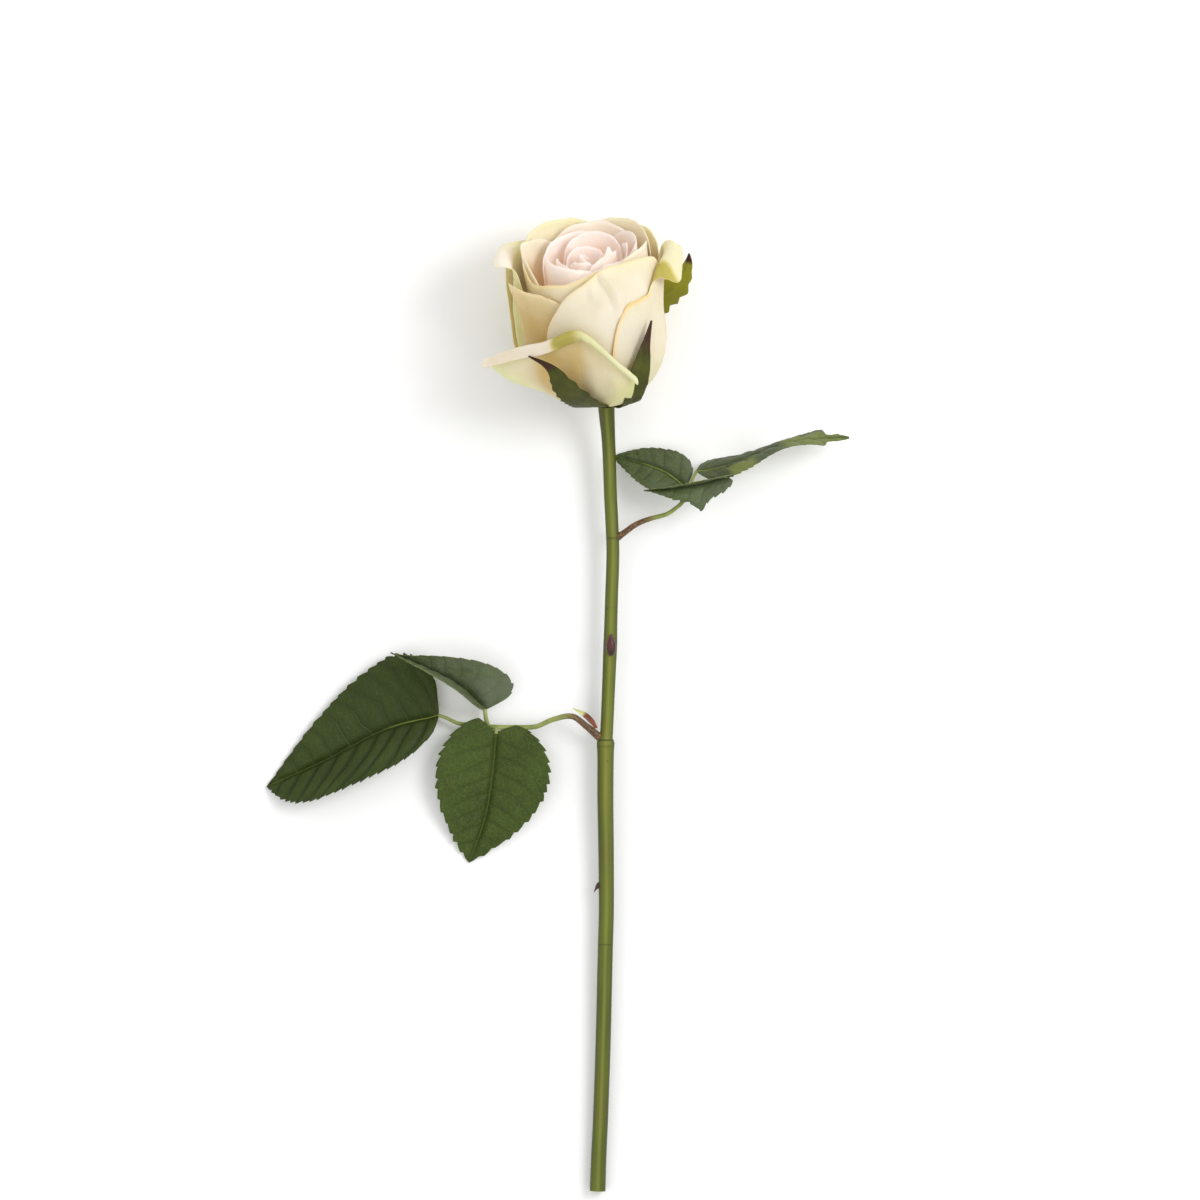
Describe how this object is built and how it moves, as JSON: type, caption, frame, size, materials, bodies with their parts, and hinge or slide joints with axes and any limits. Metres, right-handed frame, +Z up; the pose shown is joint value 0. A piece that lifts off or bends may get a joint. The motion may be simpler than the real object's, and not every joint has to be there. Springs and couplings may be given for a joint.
{
  "type": "cut rose",
  "caption": "Single cut rose lying on its side: layered cream bloom with curled outer petals, green sepals, a long round stem and two leaves of three toothed leaflets.",
  "frame": {"origin": "centre of the box's footprint on the surface that the rose lies on", "axes": "+Y along the stem towards the flower, +X towards the right-hand leaf, +Z up from the surface"},
  "size_m": [0.2402, 0.4004, 0.0725],
  "materials": {
    "stem": "smooth satin green plant stem",
    "leaf": "matt dark green leaf with raised veins",
    "bud": "dark maroon bud and thorn",
    "sepal": "matt green sepal, brown towards the tip",
    "petal": "soft matt cream petal, pink-white inside and yellow-green at the rim"
  },
  "bodies": {
    "root": {"stem": "stem", "left_leaf_stalk": "stem", "right_leaf_stalk": "stem", "left_stipule": "stem", "left_leaflet_end": "leaf", "left_leaflet_front": "leaf", "left_leaflet_back": "leaf", "right_leaflet_end": "leaf", "right_leaflet_inner": "leaf", "right_leaflet_front": "leaf", "thorn": "bud", "axillary_bud": "bud", "receptacle": "sepal", "sepal_1": "sepal", "sepal_2": "sepal", "sepal_3": "sepal", "sepal_4": "sepal", "sepal_5": "sepal", "petal_01": "petal", "petal_02": "petal", "petal_03": "petal", "petal_04": "petal", "petal_05": "petal", "petal_06": "petal", "petal_07": "petal", "petal_08": "petal", "petal_09": "petal", "petal_10": "petal", "petal_11": "petal", "petal_12": "petal", "petal_13": "petal", "petal_14": "petal", "petal_15": "petal", "petal_16": "petal", "petal_17": "petal", "petal_18": "petal", "petal_19": "petal", "petal_20": "petal", "petal_21": "petal", "petal_22": "petal", "petal_23": "petal", "petal_24": "petal", "petal_25": "petal"}
  },
  "joints": []
}
